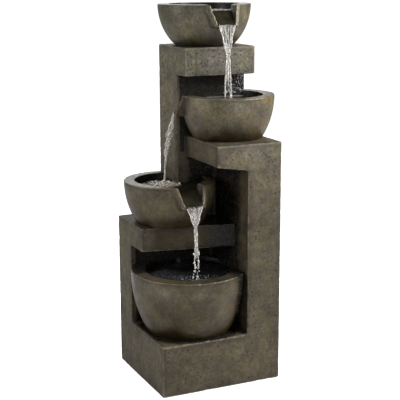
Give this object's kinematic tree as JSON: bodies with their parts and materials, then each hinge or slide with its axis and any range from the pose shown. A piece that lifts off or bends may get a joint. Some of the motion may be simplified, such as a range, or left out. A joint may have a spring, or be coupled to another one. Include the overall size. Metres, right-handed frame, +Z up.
{
  "type": "tiered water fountain",
  "caption": "Tall garden fountain of stacked cast blocks: a basin with a hidden pump feeds a top bowl, and water steps down from bowl to bowl over chute spouts.",
  "frame": {"origin": "on the floor, at the centre of the plinth's footprint, on the face of the middle foot pad", "axes": "+Z up, front faces -Y, +X to the right seen from the front"},
  "size_m": [0.398, 0.376, 0.997],
  "materials": {
    "cast_stone": "mottled bronze-brown stain on cast stone, worn lighter along the edges",
    "bowl_stone": "mottled bronze-brown stain, smoother than the blocks, wet inside",
    "cement_board": "raw grey fibre cement",
    "rubber": "matt black",
    "steel": "stainless, fine brushed",
    "brass": "machined",
    "ceramic": "ground",
    "black_plastic": "fine moulded grain",
    "white_plastic": "moulded",
    "magnet": "plain ferrite",
    "foam": "open-cell filter foam",
    "blue_plastic": "smooth moulded",
    "hose_vinyl": "milky flexible vinyl"
  },
  "bodies": {
    "root": {"plinth": "cast_stone", "base_plate": "cement_board", "foot_pads": "rubber", "base_screws": "steel", "right_column": "cast_stone", "low_walls": "cast_stone", "shelf": "cast_stone", "back_panel": "cast_stone", "tower": "cast_stone", "tower_head": "cast_stone", "joining_bolts": "steel", "threaded_inserts": "brass", "basin": "bowl_stone", "lower_bowl": "bowl_stone", "upper_bowl": "bowl_stone", "top_bowl": "bowl_stone", "bowl_bolts": "steel", "bowl_washers": "rubber", "bowl_nuts": "steel", "frame_hinge_leaves": "steel", "hinge_pins": "steel", "frame_screws": "steel", "pump_housing": "black_plastic", "pump_volute": "black_plastic", "volute_seal": "rubber", "rotor_shaft": "ceramic", "shaft_bushes": "rubber", "suction_cups": "rubber", "outlet_nozzle": "black_plastic", "riser_hose": "hose_vinyl", "hose_clamps": "steel", "bulkhead_fitting": "black_plastic", "bulkhead_gasket": "rubber", "bulkhead_nut": "black_plastic", "drain_tube": "black_plastic", "cable_grommet": "rubber"},
    "door": {"access_door": "cast_stone", "door_hinge_leaves": "steel", "door_screws": "steel"},
    "latch": {"latch_knob": "black_plastic", "latch_cam": "steel"},
    "rotor": {"rotor_magnet": "magnet", "impeller": "white_plastic"},
    "intake": {"intake_cover": "black_plastic", "filter_foam": "foam"},
    "dial": {"flow_dial": "blue_plastic"},
    "plug": {"drain_plug": "rubber"}
  },
  "joints": [
    {"name": "access_door_swing", "type": "hinge", "parent": "root", "child": "door", "pos_m": [-0.11525, 0.1595, 0.345], "axis": [0, 0, 1], "range_deg": [0, 110]},
    {"name": "latch_turn", "type": "hinge", "parent": "door", "child": "latch", "pos_m": [0.012, 0.15, 0.345], "axis": [0, -1, 0], "range_deg": [0, 90]},
    {"name": "rotor_spin", "type": "hinge", "parent": "root", "child": "rotor", "pos_m": [-0.029, 0.042, 0.185], "axis": [1, 0, 0], "continuous": true},
    {"name": "intake_cover_pull", "type": "slide", "parent": "root", "child": "intake", "axis": [1, 0, 0], "range_m": [0, 0.012]},
    {"name": "flow_dial_turn", "type": "hinge", "parent": "intake", "child": "dial", "pos_m": [-0.029, 0.042, 0.185], "axis": [1, 0, 0], "range_deg": [0, 60]},
    {"name": "drain_plug_pull", "type": "slide", "parent": "root", "child": "plug", "axis": [0, 1, 0], "range_m": [0, 0.03]}
  ]
}
